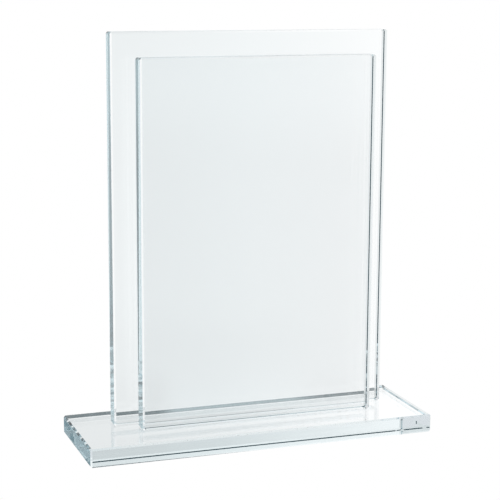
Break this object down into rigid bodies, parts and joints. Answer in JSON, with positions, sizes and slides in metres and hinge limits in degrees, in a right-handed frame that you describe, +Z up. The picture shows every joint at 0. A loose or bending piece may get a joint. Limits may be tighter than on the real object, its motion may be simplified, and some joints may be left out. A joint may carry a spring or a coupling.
{
  "type": "crystal award",
  "caption": "Free-standing clear glass award: a flat rectangular base plate carries two upright rectangular panes, the narrower one standing close in front of the wider one.",
  "frame": {"origin": "middle of the base plate's underside", "axes": "+X along the base plate's width, to the right seen from the front; +Y from the front to the back; +Z up"},
  "size_m": [0.2012, 0.066, 0.2293],
  "materials": {
    "base_glass": "polished clear glass with a faint blue-green tint",
    "pane_glass": "polished clear glass with a faint blue-green tint",
    "adhesive": "cured clear adhesive"
  },
  "bodies": {
    "root": {"base": "base_glass", "back_pane": "pane_glass", "front_pane": "pane_glass", "back_pane_bond": "adhesive", "front_pane_bond": "adhesive"}
  },
  "joints": []
}
